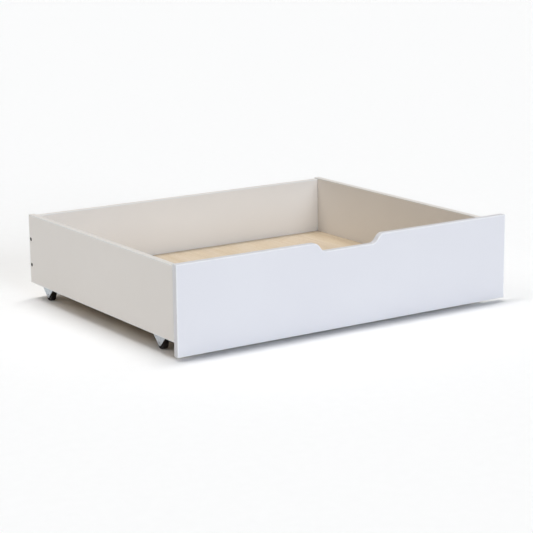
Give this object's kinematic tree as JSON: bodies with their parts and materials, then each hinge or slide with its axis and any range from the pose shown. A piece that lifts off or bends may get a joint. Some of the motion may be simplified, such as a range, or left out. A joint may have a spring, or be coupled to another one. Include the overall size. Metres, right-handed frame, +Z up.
{
  "type": "under bed box",
  "caption": "Low open storage drawer on small rigid castors, with a taller front panel that has a finger cut-out, and a plywood base.",
  "frame": {"origin": "on the floor, below the middle of the drawer's outline", "axes": "+X along the front to the right, +Y to the rear, +Z up; the front panel faces -Y"},
  "size_m": [0.95, 0.726, 0.221],
  "materials": {
    "front_paint": "smooth satin white lacquer film on board, faint orange peel",
    "carcass_paint": "satin warm white film on board",
    "plywood": "pale birch plywood, grain front to back, sanded and sealed",
    "pine": "planed softwood, unfinished",
    "beech": "fluted hardwood dowel, unfinished",
    "castor_zinc": "bright zinc plated pressed steel",
    "cam_zinc": "die-cast zinc, plain",
    "rivet_steel": "plated steel rivet",
    "screw_steel": "zinc plated steel screw",
    "dark_steel": "dark steel connecting screw",
    "wheel_plastic": "black moulded plastic, satin, moulded tread ribs"
  },
  "bodies": {
    "carcass": {"front_panel": "front_paint", "side_panel_left": "carcass_paint", "side_panel_right": "carcass_paint", "back_panel": "carcass_paint", "base_panel": "plywood", "batten_left": "pine", "batten_right": "pine", "batten_front": "pine", "batten_back": "pine", "centre_rail": "pine", "castor_bracket_front_left": "castor_zinc", "castor_axle_front_left": "rivet_steel", "castor_screw_front_left_a": "screw_steel", "castor_screw_front_left_b": "screw_steel", "castor_bracket_front_right": "castor_zinc", "castor_axle_front_right": "rivet_steel", "castor_screw_front_right_a": "screw_steel", "castor_screw_front_right_b": "screw_steel", "castor_bracket_rear_left": "castor_zinc", "castor_axle_rear_left": "rivet_steel", "castor_screw_rear_left_a": "screw_steel", "castor_screw_rear_left_b": "screw_steel", "castor_bracket_rear_right": "castor_zinc", "castor_axle_rear_right": "rivet_steel", "castor_screw_rear_right_a": "screw_steel", "castor_screw_rear_right_b": "screw_steel", "cam_lock_left_lower": "cam_zinc", "cam_bolt_left_lower": "screw_steel", "rear_screw_left_lower": "dark_steel", "cam_lock_left_upper": "cam_zinc", "cam_bolt_left_upper": "screw_steel", "rear_screw_left_upper": "dark_steel", "dowel_front_left": "beech", "dowel_rear_left": "beech", "batten_screw_left_1": "screw_steel", "batten_screw_left_2": "screw_steel", "batten_screw_left_3": "screw_steel", "cam_lock_right_lower": "cam_zinc", "cam_bolt_right_lower": "screw_steel", "rear_screw_right_lower": "dark_steel", "cam_lock_right_upper": "cam_zinc", "cam_bolt_right_upper": "screw_steel", "rear_screw_right_upper": "dark_steel", "dowel_front_right": "beech", "dowel_rear_right": "beech", "batten_screw_right_1": "screw_steel", "batten_screw_right_2": "screw_steel", "batten_screw_right_3": "screw_steel", "batten_screw_front_1": "screw_steel", "batten_screw_front_2": "screw_steel", "rail_screw_front": "screw_steel", "batten_screw_back_1": "screw_steel", "batten_screw_back_2": "screw_steel", "rail_screw_back": "screw_steel"},
    "wheel_front_left": {"castor_wheel_front_left": "wheel_plastic"},
    "wheel_front_right": {"castor_wheel_front_right": "wheel_plastic"},
    "wheel_rear_left": {"castor_wheel_rear_left": "wheel_plastic"},
    "wheel_rear_right": {"castor_wheel_rear_right": "wheel_plastic"}
  },
  "joints": [
    {"name": "wheel_front_left_spin", "type": "hinge", "parent": "carcass", "child": "wheel_front_left", "pos_m": [-0.4447, -0.247, 0.0132], "axis": [1, 0, 0], "continuous": true},
    {"name": "wheel_front_right_spin", "type": "hinge", "parent": "carcass", "child": "wheel_front_right", "pos_m": [0.3937, -0.247, 0.0132], "axis": [1, 0, 0], "continuous": true},
    {"name": "wheel_rear_left_spin", "type": "hinge", "parent": "carcass", "child": "wheel_rear_left", "pos_m": [-0.4447, 0.311, 0.0132], "axis": [1, 0, 0], "continuous": true},
    {"name": "wheel_rear_right_spin", "type": "hinge", "parent": "carcass", "child": "wheel_rear_right", "pos_m": [0.3937, 0.311, 0.0132], "axis": [1, 0, 0], "continuous": true}
  ]
}
